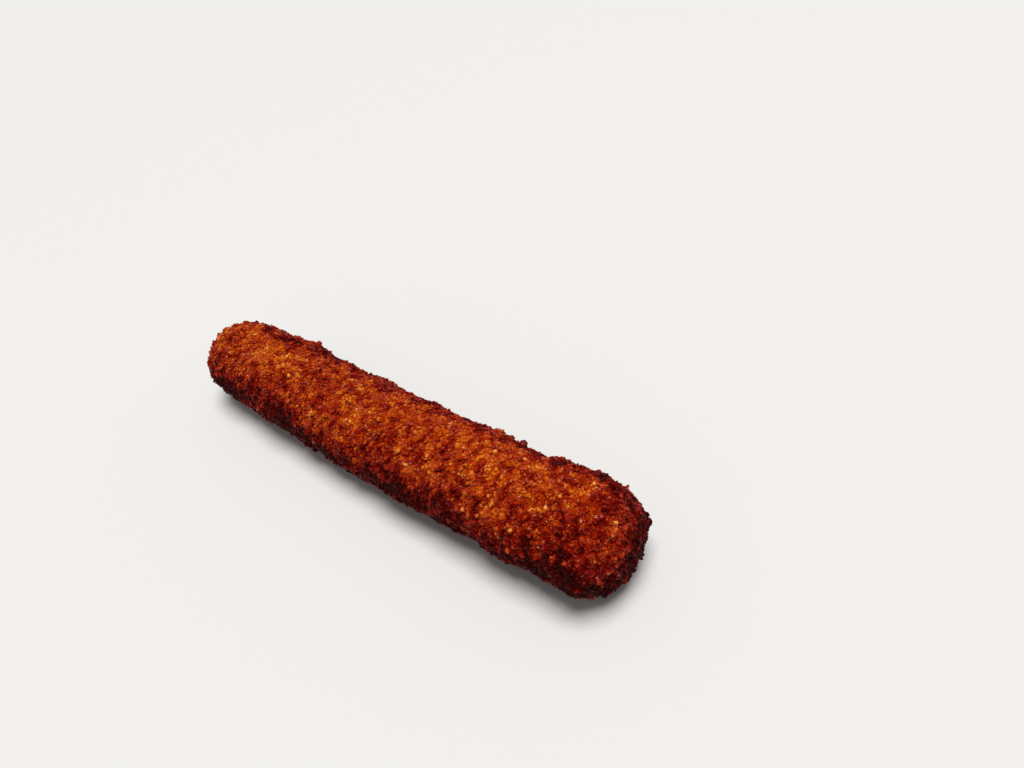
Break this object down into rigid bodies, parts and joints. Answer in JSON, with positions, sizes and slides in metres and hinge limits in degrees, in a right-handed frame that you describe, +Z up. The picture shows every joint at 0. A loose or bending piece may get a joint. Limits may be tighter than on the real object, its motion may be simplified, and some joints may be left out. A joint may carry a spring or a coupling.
{
  "type": "breaded mozzarella stick",
  "caption": "Very long deep-fried mozzarella stick: a slightly bowed log of cheese in a craggy, dark red-brown breadcrumb crust, lying on its side.",
  "frame": {"origin": "centre of the part's box on the surface that it lies on", "axes": "+X along the stick towards its thick blunt end, +Y to the side that it curves away from, +Z up"},
  "size_m": [0.2312, 0.0448, 0.0385],
  "materials": {
    "fried_crust": "deep-fried breadcrumbs, oily, mahogany to orange-brown with golden crumbs and a dark burnt underside"
  },
  "bodies": {
    "root": {"mozzarella_stick": "fried_crust"}
  },
  "joints": []
}
